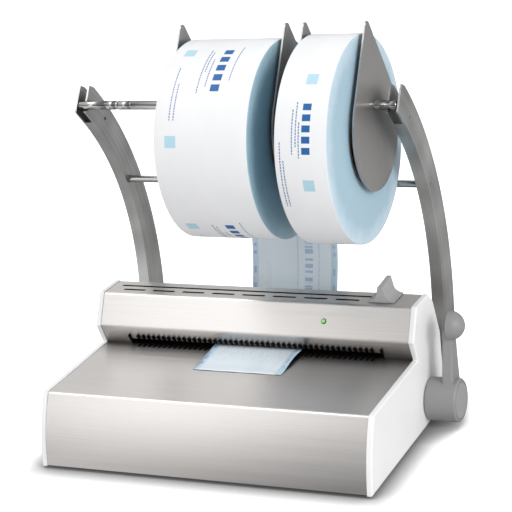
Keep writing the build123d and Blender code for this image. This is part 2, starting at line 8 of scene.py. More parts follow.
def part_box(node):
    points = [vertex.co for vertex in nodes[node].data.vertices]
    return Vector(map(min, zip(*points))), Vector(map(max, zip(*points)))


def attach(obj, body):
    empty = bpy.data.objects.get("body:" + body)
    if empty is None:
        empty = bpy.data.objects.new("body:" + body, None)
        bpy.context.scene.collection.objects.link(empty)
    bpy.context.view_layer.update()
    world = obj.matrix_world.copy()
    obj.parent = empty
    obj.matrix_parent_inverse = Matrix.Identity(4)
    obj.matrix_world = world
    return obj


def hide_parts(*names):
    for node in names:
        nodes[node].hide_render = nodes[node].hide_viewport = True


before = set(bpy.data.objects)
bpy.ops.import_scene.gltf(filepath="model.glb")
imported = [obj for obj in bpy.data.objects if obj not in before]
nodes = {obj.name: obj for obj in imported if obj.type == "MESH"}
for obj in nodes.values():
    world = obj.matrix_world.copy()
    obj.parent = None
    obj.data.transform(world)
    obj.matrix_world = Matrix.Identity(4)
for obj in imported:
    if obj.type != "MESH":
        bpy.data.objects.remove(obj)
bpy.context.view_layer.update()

# Camera.
# It looks at the sealer from the front right and a little above, with the
# long lens of a product photograph, and leans slightly.
camera_data = bpy.data.cameras.new("camera")
camera_data.sensor_width = 36.0
camera_data.lens = 126.26
camera_data.clip_end = 30.0
camera = bpy.data.objects.new("camera", camera_data)
camera.matrix_world = (
    Matrix.Translation((0.82713, -1.63703, 0.82193))
    @ Matrix.Rotation(math.radians(25.7707), 4, "Z")
    @ Matrix.Rotation(math.radians(71.5021), 4, "X")
    @ Matrix.Rotation(math.radians(-6.5577), 4, "Z")
)
bpy.context.scene.collection.objects.link(camera)
bpy.context.scene.camera = camera

# Studio.
# A white surround, a pale floor with painted shade where the housing stands on it,
# and three soft lamps. What metal mirrors of them is darker to the right.
bpy.context.scene.view_settings.view_transform = "Standard"


def feed(tree, socket, value):
    """Links a socket to another one, or sets it to a plain value."""
    if isinstance(value, bpy.types.NodeSocket):
        tree.links.new(value, socket)
    else:
        socket.default_value = value


def number(tree, operation, a, b=0.0, clamp=False):
    """A sum on sockets or plain numbers."""
    made = tree.nodes.new("ShaderNodeMath")
    made.operation = operation
    made.use_clamp = clamp
    feed(tree, made.inputs[0], a)
    feed(tree, made.inputs[1], b)
    return made.outputs[0]


def on_place(tree, operation, place, amount=(0, 0, 0)):
    """A sum on a place, which gives a place or, for a length and the like, a number."""
    made = tree.nodes.new("ShaderNodeVectorMath")
    made.operation = operation
    made.inputs[1].default_value = amount
    tree.links.new(place, made.inputs[0])
    gives_number = operation in ("LENGTH", "DISTANCE", "DOT_PRODUCT")
    return made.outputs["Value" if gives_number else "Vector"]


def parts_of(tree, place):
    """The three numbers of a place."""
    made = tree.nodes.new("ShaderNodeSeparateXYZ")
    tree.links.new(place, made.inputs[0])
    return made.outputs[:]


def carried(tree, value, old, new, smooth=False):
    """A value carried from one pair of limits to another, and held between them."""
    made = tree.nodes.new("ShaderNodeMapRange")
    made.interpolation_type = "SMOOTHSTEP" if smooth else "LINEAR"
    for label, amount in zip(("From Min", "From Max", "To Min", "To Max"), (*old, *new)):
        made.inputs[label].default_value = amount
    tree.links.new(value, made.inputs["Value"])
    return made.outputs["Result"]


def falling_off(tree, place, direction, offset, lowest):
    """How bright the studio is at a place: it falls off along a direction, down to a lowest tone."""
    tone = number(tree, "ADD", on_place(tree, "DOT_PRODUCT", place, direction), offset, clamp=True)
    return number(tree, "MAXIMUM", tone, lowest)


def by_ray(tree, seen, mirrored, spread):
    """One value for what is seen directly or through film, one for mirrors, one for spread light."""
    path = tree.nodes.new("ShaderNodeLightPath")
    direct = number(
        tree, "MAXIMUM", path.outputs["Is Camera Ray"], path.outputs["Is Transmission Ray"]
    )
    value = spread
    for factor, choice in ((path.outputs["Is Glossy Ray"], mirrored), (direct, seen)):
        mix = tree.nodes.new("ShaderNodeMix")
        tree.links.new(factor, mix.inputs["Factor"])
        feed(tree, mix.inputs["A"], value)
        feed(tree, mix.inputs["B"], choice)
        value = mix.outputs["Result"]
    return value


world = bpy.data.worlds.new("surround")
bpy.context.scene.world = world
world.use_nodes = True
world_tree = world.node_tree
surround = world_tree.nodes["Background"]
surround.inputs["Color"].default_value = (1, 1, 1, 1)
outlook = world_tree.nodes.new("ShaderNodeTexCoord").outputs["Generated"]
horizon = carried(world_tree, parts_of(world_tree, outlook)[2], (0.1, 0.42), (0.25, 1.0), smooth=True)
sideways = falling_off(world_tree, outlook, (-1.8, -0.25, 0.6), -0.04, 0.3)
mirrored_sky = number(world_tree, "MULTIPLY", sideways, horizon)
world_tree.links.new(by_ray(world_tree, 1.0, mirrored_sky, 0.66), surround.inputs["Strength"])


def object_from(name, bm, *finishes):
    """An object at the origin that shows a finished shape, in one or more materials."""
    mesh = bpy.data.meshes.new(name)
    bm.to_mesh(mesh)
    bm.free()
    for finish in finishes:
        mesh.materials.append(finish)
    piece = bpy.data.objects.new(name, mesh)
    bpy.context.scene.collection.objects.link(piece)
    return piece


def material(name, colour, roughness, metallic=0.0):
    """A material with the values that are the same all over its surface."""
    made = bpy.data.materials.new(name)
    made.use_nodes = True
    shader = made.node_tree.nodes["Principled BSDF"]
    shader.inputs["Base Color"].default_value = (*colour, 1)
    shader.inputs["Roughness"].default_value = roughness
    shader.inputs["Metallic"].default_value = metallic
    return made


def tree_and_shader(made):
    """A material's node tree and its one shader."""
    return made.node_tree, made.node_tree.nodes["Principled BSDF"]


def own_place(tree):
    """A spot's place in the shared frame, as the piece's own coordinates give it."""
    return tree.nodes.new("ShaderNodeTexCoord").outputs["Object"]


def open_share(tree, distance, samples):
    """How open a spot's surroundings are within a distance: 1 in the open, less in a corner."""
    made = tree.nodes.new("ShaderNodeAmbientOcclusion")
    made.samples = samples
    made.inputs["Distance"].default_value = distance
    return made.outputs["AO"]


floor_paint = material("floor", (1, 1, 1), 0.9)
floor_tree, floor_shader = tree_and_shader(floor_paint)
floor_shader.inputs["Specular IOR Level"].default_value = 0.0
floor_shader.inputs["Emission Color"].default_value = (1, 1, 1, 1)

housing_half = (0.194, 0.119, 0)  # half the housing's width and depth
floor_place = own_place(floor_tree)
from_housing = on_place(
    floor_tree, "SUBTRACT", on_place(floor_tree, "ABSOLUTE", floor_place), housing_half
)
away = on_place(floor_tree, "LENGTH", on_place(floor_tree, "MAXIMUM", from_housing))

near_mirrored = number(
    floor_tree, "MINIMUM",
    falling_off(floor_tree, floor_place, (-1.35, -0.2, 0), 0.32, 0.15),
    falling_off(floor_tree, floor_place, (1.8, 0, 0), 0.95, 0.3),
)
far_mirrored = number(
    floor_tree, "MULTIPLY",
    falling_off(floor_tree, floor_place, (-1.2, -0.2, 0), 0.5, 0.4),
    carried(floor_tree, away, (0.16, 0.4), (0.0, 1.0)),
)
mirrored_floor = number(floor_tree, "MAXIMUM", near_mirrored, far_mirrored)

# Painted shadow on the floor: darker in corners by occlusion, and darker close to the housing.
painted_contact_shade = carried(floor_tree, open_share(floor_tree, 0.04, 8), (0.45, 0.85), (0.4, 1.0))
painted_shadow_near_housing = carried(floor_tree, away, (0.0, 0.04), (0.58, 1.0))
shaded = number(floor_tree, "MULTIPLY", painted_contact_shade, painted_shadow_near_housing)
floor_tone = by_ray(
    floor_tree, number(floor_tree, "MULTIPLY", shaded, 0.92),
    number(floor_tree, "MULTIPLY", mirrored_floor, 0.9), 0.72,
)
floor_tree.links.new(floor_tone, floor_shader.inputs["Base Color"])
open_glow = carried(floor_tree, away, (0.0, 0.05), (0.15, 0.8))
floor_glow = by_ray(
    floor_tree, number(floor_tree, "MULTIPLY", open_glow, shaded),
    number(floor_tree, "MULTIPLY", mirrored_floor, 0.3), 0.0,
)
floor_tree.links.new(floor_glow, floor_shader.inputs["Emission Strength"])

floor_bm = bmesh.new()
bmesh.ops.create_grid(floor_bm, x_segments=1, y_segments=1, size=6.0)
floor = object_from("floor", floor_bm, floor_paint)


def soft_lamp(name, place, aim, size, power):
    """A soft box, of a width and a height, that points at a spot of the sealer."""
    lamp = bpy.data.lights.new(name, "AREA")
    lamp.shape = "RECTANGLE"
    lamp.size, lamp.size_y = size
    lamp.energy = power
    holder = bpy.data.objects.new(name, lamp)
    holder.location = place
    holder.rotation_euler = (Vector(aim) - Vector(place)).to_track_quat("-Z", "Y").to_euler()
    bpy.context.scene.collection.objects.link(holder)


soft_lamp("lamp_front_left", (-1.14, -2.02, 0.95), (0, 0, 0.15), (0.6, 1.6), 4)
soft_lamp("lamp_overhead", (-0.95, -0.4, 2.1), (0, 0, 0.15), (1.0, 1.0), 12)
soft_lamp("lamp_right", (2.3, -0.9, 1.3), (0, 0, 0.2), (1.2, 1.2), 34)

# Steel covers.
# The base cover and the head cover are folded from stainless sheet and brushed
# from side to side. The head's top carries the cutter's slot and eight vents.


def fine_noise(tree, scale, detail=4.0, place=None):
    """Noise on the piece's own coordinates or on a place, with a scale along each axis."""
    mapping = tree.nodes.new("ShaderNodeMapping")
    mapping.inputs["Scale"].default_value = scale
    noise = tree.nodes.new("ShaderNodeTexNoise")
    noise.inputs["Scale"].default_value = 1.0
    noise.inputs["Detail"].default_value = detail
    tree.links.new(place or own_place(tree), mapping.inputs["Vector"])
    tree.links.new(mapping.outputs["Vector"], noise.inputs["Vector"])
    return noise.outputs["Fac"]


def vary(tree, value, socket, low, high):
    """Carries a noise value to a socket between two limits."""
    tree.links.new(carried(tree, value, (0.3, 0.7), (low, high)), socket)


def tint(tree, shader, value, dark, light):
    """Colours the surface between two tones."""
    ramp = tree.nodes.new("ShaderNodeValToRGB")
    for element, position, tone in zip(ramp.color_ramp.elements, (0.3, 0.7), (dark, light)):
        element.position = position
        element.color = (*tone, 1)
    tree.links.new(value, ramp.inputs["Fac"])
    tree.links.new(ramp.outputs["Color"], shader.inputs["Base Color"])


def relief(tree, shader, value, depth):
    """Raises the surface's fine relief by a depth in metres."""
    bump = tree.nodes.new("ShaderNodeBump")
    bump.inputs["Strength"].default_value = 1.0
    bump.inputs["Distance"].default_value = depth
    tree.links.new(value, bump.inputs["Height"])
    tree.links.new(bump.outputs["Normal"], shader.inputs["Normal"])


def brushed_steel(name, colour, roughness, scale, depth=0.00002, grain=None):
    """Steel brushed one way, with long fine scratches in its colour, gloss and relief."""
    made = material(name, colour, roughness, 1.0)
    tree, shader = tree_and_shader(made)
    scratches = fine_noise(tree, scale, 5.0)
    tint(tree, shader, scratches, [c * 0.94 for c in colour], [min(1.0, c * 1.05) for c in colour])
    vary(tree, scratches, shader.inputs["Roughness"], roughness - 0.05, roughness + 0.06)
    relief(tree, shader, scratches, depth)
    if grain:
        along = tree.nodes.new("ShaderNodeCombineXYZ")
        for socket, share in zip(along.inputs, grain):
            socket.default_value = share
        tree.links.new(along.outputs[0], shader.inputs["Tangent"])
        shader.inputs["Anisotropic"].default_value = 0.75
        shader.inputs["Anisotropic Rotation"].default_value = 0.25
    return made


def between(tree, value, low, high):
    """1 where a value lies between two limits, and 0 elsewhere."""
    from_middle = number(tree, "ABSOLUTE", number(tree, "SUBTRACT", value, (low + high) / 2))
    return number(tree, "LESS_THAN", from_middle, (high - low) / 2)


def inside(tree, low, high):
    """1 inside a box of the piece's own coordinates, and 0 outside it."""
    within = 1.0
    for part, a, b in zip(parts_of(tree, own_place(tree)), low, high):
        within = number(tree, "MULTIPLY", between(tree, part, a, b), within)
    return within


def over(tree, below, mask, colour, weight=1.0):
    """Lays a colour on what lies below it, where a mask is 1."""
    mix = tree.nodes.new("ShaderNodeMix")
    mix.data_type = "RGBA"
    mix.inputs["B"].default_value = (*colour, 1)
    tree.links.new(number(tree, "MULTIPLY", mask, weight), mix.inputs["Factor"])
    feed(tree, mix.inputs["A"], below)
    return mix.outputs["Result"]


def paint_corner_shade(tree, shader, distance, open_from, darkest, above=-1.0):
    """Paints shade into a steel surface's colour in its corners and recesses above a height, where little
    light comes.
    """
    painted_shade = carried(tree, open_share(tree, distance, 6), (0.2, open_from), (darkest, 1.0))
    low_part = number(tree, "LESS_THAN", parts_of(tree, own_place(tree))[2], above)
    scale = tree.nodes.new("ShaderNodeVectorMath")
    scale.operation = "SCALE"
    tree.links.new(shader.inputs["Base Color"].links[0].from_socket, scale.inputs[0])
    tree.links.new(number(tree, "MAXIMUM", painted_shade, low_part), scale.inputs["Scale"])
    tree.links.new(scale.outputs["Vector"], shader.inputs["Base Color"])


def finish_node(name, finish):
    """Gives a CAD piece its material."""
    mesh = nodes[name].data
    if not mesh.materials:
        mesh.materials.append(finish)
    for i in range(len(mesh.materials)):
        mesh.materials[i] = finish


stainless = brushed_steel("stainless_covers", (0.61, 0.59, 0.575), 0.36, (5, 1500, 1500), grain=(1, 0, 0))
steel_tree, steel_shader = tree_and_shader(stainless)
# Painted shade: the covers' colour darkens in their corners and under the head.
paint_corner_shade(steel_tree, steel_shader, 0.03, 0.9, 0.15, above=0.07)
# Painted shade: inside the slot, the vents and the gap behind the combs the steel is coloured black.
slots_box = ((-0.18, 0.0628, 0.12), (0.18, 0.0815, 0.1419))  # round the slot and the vents
gap_box = ((-0.1551, 0.047, 0.0835), (0.1551, 0.13, 0.0918))  # behind the combs
unlit_black = (0.004, 0.004, 0.004)
unlit = number(steel_tree, "MAXIMUM", inside(steel_tree, *slots_box), inside(steel_tree, *gap_box))
lit_steel = steel_shader.inputs["Base Color"].links[0].from_socket
steel_tree.links.new(
    over(steel_tree, lit_steel, unlit, unlit_black), steel_shader.inputs["Base Color"]
)
finish_node("base_cover", stainless)
finish_node("head_cover", stainless)
finish_node("base_plate", brushed_steel("bottom_sheet", (0.5, 0.5, 0.5), 0.5, (200, 200, 200)))

# Side panels.
# Two moulded white plastic cheeks close the covers and stand out past them by
# less than a millimetre. Their outer edge is rounded.


def moulded(name, colour, roughness, grain=900, depth=0.00004):
    """Moulded plastic with a fine spark-eroded grain."""
    made = material(name, colour, roughness)
    tree, shader = tree_and_shader(made)
    spots = fine_noise(tree, (grain, grain, grain), 3.0)
    clouds = fine_noise(tree, (14, 14, 14), 2.0)
    tint(tree, shader, clouds, [c * 0.97 for c in colour], [min(1.0, c * 1.02) for c in colour])
    vary(tree, spots, shader.inputs["Roughness"], roughness - 0.04, roughness + 0.05)
    relief(tree, shader, spots, depth)
    return made


white_plastic = moulded("white_cheeks", (0.9, 0.9, 0.905), 0.34)
finish_node("side_panel_left", white_plastic)
finish_node("side_panel_right", white_plastic)

# Comb guides and seal jaws.
# Black moulded combs lead the pouch into the gap. Behind them the jaws press
# the sealing band.
black_plastic = moulded("black_combs", (0.004, 0.004, 0.0045), 0.55)
tree_and_shader(black_plastic)[1].inputs["Specular IOR Level"].default_value = 0.08
finish_node("comb_upper", black_plastic)
finish_node("comb_lower", black_plastic)
jaw_steel = brushed_steel("jaw_steel", (0.35, 0.34, 0.33), 0.4, (6, 900, 900))
finish_node("seal_jaw_upper", jaw_steel)
finish_node("seal_jaw_lower", jaw_steel)

# Status lamp.
# A green lens in a hole of the head's front face, lit from behind, with a dark
# rim round its lit middle.
lens_green = (0.12, 0.6, 0.05)
lens_middle = (0.0883, 0.0426, 0.1252)
lit_radius = 0.0021
lens = material("green_lens", lens_green, 0.18)
lens_tree, lens_shader = tree_and_shader(lens)
lens_shader.inputs["Emission Color"].default_value = (0.25, 0.9, 0.08, 1)
lens_shader.inputs["Coat Weight"].default_value = 0.6
from_middle = on_place(lens_tree, "DISTANCE", own_place(lens_tree), lens_middle)
lit = number(lens_tree, "LESS_THAN", from_middle, lit_radius)
vary(lens_tree, lit, lens_shader.inputs["Emission Strength"], 0.0, 0.22)
tint(lens_tree, lens_shader, lit, (0.01, 0.05, 0.01), lens_green)
vary(lens_tree, fine_noise(lens_tree, (700, 700, 700)), lens_shader.inputs["Roughness"], 0.12, 0.24)
finish_node("status_lamp", lens)

# Rear cover, inlet and switch.
# A plain sheet with six screws closes the back. The inlet's black housing has
# three pins, and the rocker switch sits beside it.
finish_node("rear_cover", brushed_steel("rear_sheet", (0.5, 0.49, 0.48), 0.38, (6, 1400, 1400)))
inlet_plastic = moulded("inlet_plastic", (0.02, 0.02, 0.021), 0.38)
finish_node("power_inlet", inlet_plastic)
finish_node("power_switch", inlet_plastic)
screw_steel = brushed_steel("screw_steel", (0.6, 0.6, 0.6), 0.3, (300, 300, 300))
# The cross recess is not cut; a black inset stands in for its shade.
recess = moulded("screw_recess_painted_shade", (0.02, 0.02, 0.02), 0.6)


def screw(name, place, radius, turn):
    """A pan-head screw at the back, with a cross recess turned by an angle, drawn as a black inset of
    painted shade.
    """
    bm = bmesh.new()
    bmesh.ops.create_circle(bm, cap_ends=True, radius=radius, segments=24)
    top = bmesh.ops.extrude_face_region(bm, geom=bm.faces[:])
    raised = [v for v in top["geom"] if isinstance(v, bmesh.types.BMVert)]
    bmesh.ops.translate(bm, verts=raised, vec=(0, 0, radius * 0.45))
    rim = [e for e in bm.edges if all(v in raised for v in e.verts)]
    bmesh.ops.bevel(
        bm, geom=rim, offset=radius * 0.35, segments=4, profile=0.5, affect="EDGES", material=-1
    )
    for angle in (0, math.pi / 2):
        arm = bmesh.ops.create_cube(bm, size=1.0)["verts"]
        bmesh.ops.scale(bm, vec=(radius * 1.1, radius * 0.2, radius * 0.05), verts=arm)
        bmesh.ops.rotate(bm, cent=(0, 0, 0), matrix=Matrix.Rotation(turn + angle, 3, "Z"), verts=arm)
        bmesh.ops.translate(bm, verts=arm, vec=(0, 0, radius * 0.44))
        for face in {f for v in arm for f in v.link_faces}:
            face.material_index = 1
    bmesh.ops.recalc_face_normals(bm, faces=bm.faces[:])
    to_rear = Matrix.Rotation(-math.pi / 2, 3, "X")
    bmesh.ops.rotate(bm, cent=(0, 0, 0), matrix=to_rear, verts=bm.verts[:])
    bmesh.ops.translate(bm, verts=bm.verts[:], vec=place)
    piece = object_from(name, bm, screw_steel, recess)
    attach(piece, "housing")


screw_r = 0.003
rear_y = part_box("rear_cover")[1][1]
screw_places = [(x, rear_y, z) for x in (-0.165, 0.0, 0.165) for z in (0.012, 0.076)]
for count, screw_place in enumerate(screw_places):
    screw(f"rear_screw_{count}", screw_place, screw_r, count * 1.1)

# Feet.
# Four turned rubber feet, screwed under the bottom sheet.
finish_node("feet", moulded("foot_rubber", (0.03, 0.03, 0.03), 0.7, 500, 0.0001))

# Roll arms.
# Two curved channels folded from steel sheet, open to the rear, screwed to the
# rear cover with a spacer block each. They are brushed along their length, and
# their colour carries painted reflection streaks and painted shade in corners.


def along_arm(tree):
    """Coordinates that follow the arm: across it, outwards from its arc's centre, along the arc."""
    arc_centre = (0, -0.134, 0.1485)
    from_centre = on_place(tree, "SUBTRACT", own_place(tree), arc_centre)
    across, depth, height = parts_of(tree, from_centre)
    whole = tree.nodes.new("ShaderNodeCombineXYZ")
    outwards = on_place(tree, "LENGTH", on_place(tree, "MULTIPLY", from_centre, (0, 1, 1)))
    turn = number(tree, "ARCTAN2", height, depth)
    for socket, part in zip(whole.inputs, (across, outwards, turn)):
        tree.links.new(part, socket)
    return whole.outputs[0]


arm_steel = material("arm_steel", (0.55, 0.55, 0.54), 0.36, 1.0)
arm_tree, arm_shader = tree_and_shader(arm_steel)
arm_place = along_arm(arm_tree)
scratches = fine_noise(arm_tree, (1300, 1300, 3), 4.0, arm_place)
# The fine scratches are brushing; the broad streaks and clouds along the arc are painted reflection.
brushing_and_painted_reflection = 0.0
for layer, weight in (
    (scratches, 0.25),
    (fine_noise(arm_tree, (12, 420, 2), 2.0, arm_place), 0.25),
    (fine_noise(arm_tree, (6, 14, 5), 1.0, arm_place), 0.5),
):
    brushing_and_painted_reflection = number(arm_tree, "ADD", number(arm_tree, "MULTIPLY", layer, weight), brushing_and_painted_reflection)
tint(arm_tree, arm_shader, brushing_and_painted_reflection, (0.3, 0.3, 0.295), (0.82, 0.82, 0.81))
paint_corner_shade(arm_tree, arm_shader, 0.015, 0.8, 0.22)
vary(arm_tree, scratches, arm_shader.inputs["Roughness"], 0.3, 0.44)
relief(arm_tree, arm_shader, scratches, 0.00002)
for side in ("left", "right"):
    finish_node(f"roll_arm_{side}", arm_steel)
    finish_node(f"arm_spacer_{side}", arm_steel)

# Rods.
# The rolls hang on the upper rod and lean on the lower one. Both are ground
# steel bar, and the upper one has turned grooves. Pins end in the arms' walls.


def turned(name, outline, centre, steps, *finishes):
    """A piece spun from an outline of (along X, radius) points about a line through a centre."""
    bm = bmesh.new()
    corners = [bm.verts.new((x, centre[0] - r, centre[1])) for x, r in outline]
    for a, b in zip(corners, corners[1:]):
        bm.edges.new((a, b))
    bmesh.ops.spin(
        bm, geom=bm.verts[:] + bm.edges[:], cent=(0, *centre), axis=(-1, 0, 0),
        angle=2 * math.pi, steps=steps, use_merge=True,
    )
    bmesh.ops.remove_doubles(bm, verts=bm.verts[:], dist=0.000001)
    bmesh.ops.recalc_face_normals(bm, faces=bm.faces[:])
    return object_from(name, bm, *finishes)


rod_steel = brushed_steel("rod_steel", (0.42, 0.42, 0.415), 0.15, (900, 60, 60), 0.00001)
finish_node("guide_rod", rod_steel)

rod_centre = (0.061, 0.3635)
rod_r = 0.005
rod_half = 0.1885
rod_chamfer = 0.0005
grooves = (  # middle, width and depth
    (-0.1544, 0.0016, 0.0007),
    (-0.1412, 0.0044, 0.0006),
    (-0.1234, 0.0016, 0.0003),
    (0.1234, 0.0016, 0.0003),
    (0.1412, 0.0044, 0.0006),
    (0.1544, 0.0016, 0.0007),
    (0.171, 0.0014, 0.0006),
)
rod_outline = [
    (-rod_half, 0.0), (-rod_half, rod_r - rod_chamfer), (-rod_half + rod_chamfer, rod_r)
]
for middle, width, depth in grooves:
    low, high = middle - width / 2, middle + width / 2
    rod_outline += [
        (low, rod_r), (low + depth / 2, rod_r - depth), (high - depth / 2, rod_r - depth), (high, rod_r)
    ]
rod_outline += [(rod_half - rod_chamfer, rod_r), (rod_half, rod_r - rod_chamfer), (rod_half, 0.0)]
upper_rod = turned("upper_rod", rod_outline, rod_centre, 48, rod_steel)
for face in upper_rod.data.polygons:
    face.use_smooth = abs(face.normal.x) < 0.2
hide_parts("roll_rod")
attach(upper_rod, "housing")

pin_steel = material("pin_ends", (0.92, 0.92, 0.92), 0.35, 1.0)
pin_tree, pin_shader = tree_and_shader(pin_steel)
vary(pin_tree, fine_noise(pin_tree, (900, 900, 900)), pin_shader.inputs["Roughness"], 0.3, 0.4)
pin_end_x = 0.1918  # a little inside the arm's outer face
pin_profile = ((0.003, 0), (0.003, 0.0012), (0.0003, 0.0012), (0, 0.0006), (0, 0))  # depth, radius
for side, way in (("left", -1), ("right", 1)):
    pin_outline = [(way * (pin_end_x - depth), r) for depth, r in pin_profile][::way]
    for label, pin_centre in (("upper", (0.0855, 0.344)), ("lower", (0.132, 0.2555))):
        pin = turned(f"{label}_pin_{side}", pin_outline, pin_centre, 24, pin_steel)
        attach(pin, "housing")

# Guide plates.
# Four drop-shaped plates of brushed steel hang on the upper rod and keep the
# rolls apart.
plate_colour = (0.6, 0.585, 0.575)
plate_steel = brushed_steel("plate_steel", plate_colour, 0.36, (900, 900, 8), grain=(0, 0, 1))
# Painted shade: the plates darken in their corners and where they stand close to the rolls.
paint_corner_shade(*tree_and_shader(plate_steel), 0.03, 0.8, 0.4)
for plate in (1, 2, 3, 4):
    finish_node(f"guide_plate_{plate}", plate_steel)

# Rolls.
# Each roll is hundreds of turns of flat pouch, paper outside, on a card tube.
# Its ends show the cut edges of the film, and its paper carries plain prints.
card = moulded("card_tube", (0.5, 0.4, 0.28), 0.8, 300, 0.0001)
finish_node("wide_core", card)
finish_node("narrow_core", card)

paper = material("pouch_paper", (0.86, 0.865, 0.88), 0.62)
paper_tree, paper_shader = tree_and_shader(paper)
paper_shader.inputs["Coat Weight"].default_value = 0.12
fibres = fine_noise(paper_tree, (700, 700, 700), 5.0)
paper_clouds = fine_noise(paper_tree, (30, 12, 12), 2.0)
tint(paper_tree, paper_shader, paper_clouds, (0.84, 0.845, 0.86), (0.88, 0.885, 0.9))
vary(paper_tree, fibres, paper_shader.inputs["Roughness"], 0.5, 0.7)
relief(paper_tree, paper_shader, fibres, 0.00003)


def film_edges(name, centre, reach, body_tone, rim_tone):
    """The cut edges of the wound film: faint rings about the roll's middle, paler at the rim."""
    made = material(name, body_tone, 0.42)
    tree, shader = tree_and_shader(made)
    mapping = tree.nodes.new("ShaderNodeMapping")
    mapping.vector_type = "TEXTURE"
    mapping.inputs["Location"].default_value = (0, *centre)
    mapping.inputs["Scale"].default_value = (1000, 1, 1)  # the place along the rod hardly counts
    tree.links.new(own_place(tree), mapping.inputs["Vector"])
    outwards = on_place(tree, "LENGTH", mapping.outputs["Vector"])
    rings = tree.nodes.new("ShaderNodeTexNoise")
    rings.noise_dimensions = "1D"
    rings.inputs["Scale"].default_value = 1500
    rings.inputs["Detail"].default_value = 3.0
    tree.links.new(outwards, rings.inputs["W"])
    ring = rings.outputs["Fac"]
    tone = carried(tree, outwards, (reach - 0.03, reach), (0.0, 0.35), smooth=True)
    for layer, weight in ((fine_noise(tree, (1, 60, 45), 3.0), 0.3), (ring, 0.16)):
        tone = number(tree, "ADD", number(tree, "MULTIPLY", layer, weight), tone)
    tint(tree, shader, tone, body_tone, rim_tone)
    vary(tree, ring, shader.inputs["Roughness"], 0.34, 0.5)
    relief(tree, shader, ring, 0.00003)
    return made


def roll_outline(x0, x1, reach, bore):
    """A winding's outline: a rounded paper rim and end faces whose turns stand in and out."""
    count = 26
    rim = 0.0012
    set_in = 0.0003
    uneven = 0.00022
    left, right = [], []
    for i in range(count + 1):
        r = bore + (reach - rim - bore) * i / count
        step = uneven * (1 + math.sin(i * 2.399) * math.cos(i * 0.73))
        inward = step if 0 < i < count else set_in
        left.append((x0 + inward, r))
        right.append((x1 - inward, r))
    corner_left = [
        (x0 + set_in + rim * (1 - math.cos(a)), reach - rim + rim * math.sin(a)) for a in (0.4, 0.8, 1.2)
    ]
    corner_right = [(x0 + x1 - x, r) for x, r in corner_left]
    top = [(x0 + set_in + rim, reach), (x1 - set_in - rim, reach)]
    outline = left + corner_left + top + corner_right[::-1] + right[::-1]
    return outline + [outline[0]]


def printed(name, centre, reach, marks, ink):
    """Thin ink marks on a roll, each (left, right, first angle, last angle) in metres and degrees."""
    bm = bmesh.new()
    for x0, x1, a0, a1 in marks:
        start = math.radians(a0)
        y, z = centre[0] - reach * math.cos(start), centre[1] + reach * math.sin(start)
        ends = [bm.verts.new((x, y, z)) for x in (x0, x1)]
        bmesh.ops.spin(
            bm, geom=[*ends, bm.edges.new(ends)], cent=(0, *centre), axis=(1, 0, 0),
            angle=math.radians(a0 - a1), steps=max(1, round(abs(a1 - a0) / 2.0)), use_merge=False,
        )
    for face in bm.faces:
        face.normal_update()
        middle = face.calc_center_median()
        if face.normal.dot(middle - Vector((middle.x, *centre))) < 0:
            face.normal_flip()
    return object_from(name, bm, ink)


def dash_column(x, a0, a1, width=0.0012, size=0.85, gap=0.5):
    """A column of short dashes in the place of small print."""
    marks = []
    a = a0
    while a < a1:
        length = size * (1 + 0.6 * math.sin(len(marks) * 2.1) ** 2)
        marks.append((x, x + width, a, a + length))
        a += length + gap
    return marks


def squares(x0, x1, half_turn, angles):
    """Square marks between two sides, about a row of angles."""
    return [(x0, x1, a - half_turn, a + half_turn) for a in angles]


def bars(x0, x1, turn, angles):
    """Bold bars between two sides, each from an angle on."""
    return [(x0, x1, a, a + turn) for a in angles]


def repeated(marks):
    """Marks that come three times round a roll."""
    return marks + [(p, q, a - turn, b - turn) for turn in (117.0, 234.0) for p, q, a, b in marks]


print_blue = moulded("print_light_blue", (0.45, 0.68, 0.8), 0.5)
print_ink = moulded("print_ink", (0.08, 0.16, 0.42), 0.5)
print_bold = moulded("print_bold_blue", (0.0, 0.11, 0.36), 0.5)
tube_r = 0.0443
ink_height = 0.00006
roll_data = (  # label, centre, radius, sides, squares, bars, small print columns, film tones
    (
        "wide", (0.0490085, 0.3295559), 0.107, -0.0395, 0.067,
        squares(-0.026, -0.0135, 3.3, (72.6, 14.1, -44.2, -102.6, -161.0, -219.4)),
        bars(0.0195, 0.0295, 4.4, (43.0, 50.0, 57.0, 64.0, 71.0)),
        (
            (-0.0225, 26, 58), (-0.0178, 26, 48), (0.004, 42, 74),
            (0.0075, 56, 72), (0.0125, 46, 66), (0.038, 50, 78),
        ),
        # These tones are darker than the narrow roll's: painted shade for the end that faces the narrow
        # roll.
        ((0.25, 0.41, 0.5), (0.45, 0.62, 0.71)),
    ),
    (
        "narrow", (0.0460584, 0.3307472), 0.110, 0.0995, 0.1565,
        squares(0.128, 0.1402, 3.2, (49.0, -9.0, -67.0, -125.0, -183.0, -241.0)),
        bars(0.1295, 0.1385, 3.6, (8.0, 13.8, 19.6, 25.4, 31.2)),
        ((0.1052, -22, 14), (0.1085, -22, 4), (0.1185, 8, 31), (0.1225, 12, 36), (0.1258, 6, 24)),
        ((0.38, 0.54, 0.64), (0.62, 0.75, 0.84)),
    ),
)
for label, centre, reach, x0, x1, square_marks, bar_marks, columns, tones in roll_data:
    winding = turned(
        f"{label}_winding_paper", roll_outline(x0, x1, reach, tube_r), centre, 160,
        paper, film_edges(f"{label}_film_edges", centre, reach, *tones),
    )
    for face in winding.data.polygons:
        face.use_smooth = True
        face.material_index = int(abs(face.normal.x) > 0.75)
    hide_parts(f"{label}_winding")
    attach(winding, f"{label}_roll")
    dashes = [m for x, a0, a1 in columns for m in dash_column(x, a0, a1)]
    for kind, marks, ink in (
        ("squares", square_marks, print_blue),
        ("print_lines", repeated(dashes), print_ink),
        ("blue_bars", repeated(bar_marks), print_bold),
    ):
        prints = printed(f"{label}_{kind}", centre, reach + ink_height, marks, ink)
        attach(prints, f"{label}_roll")

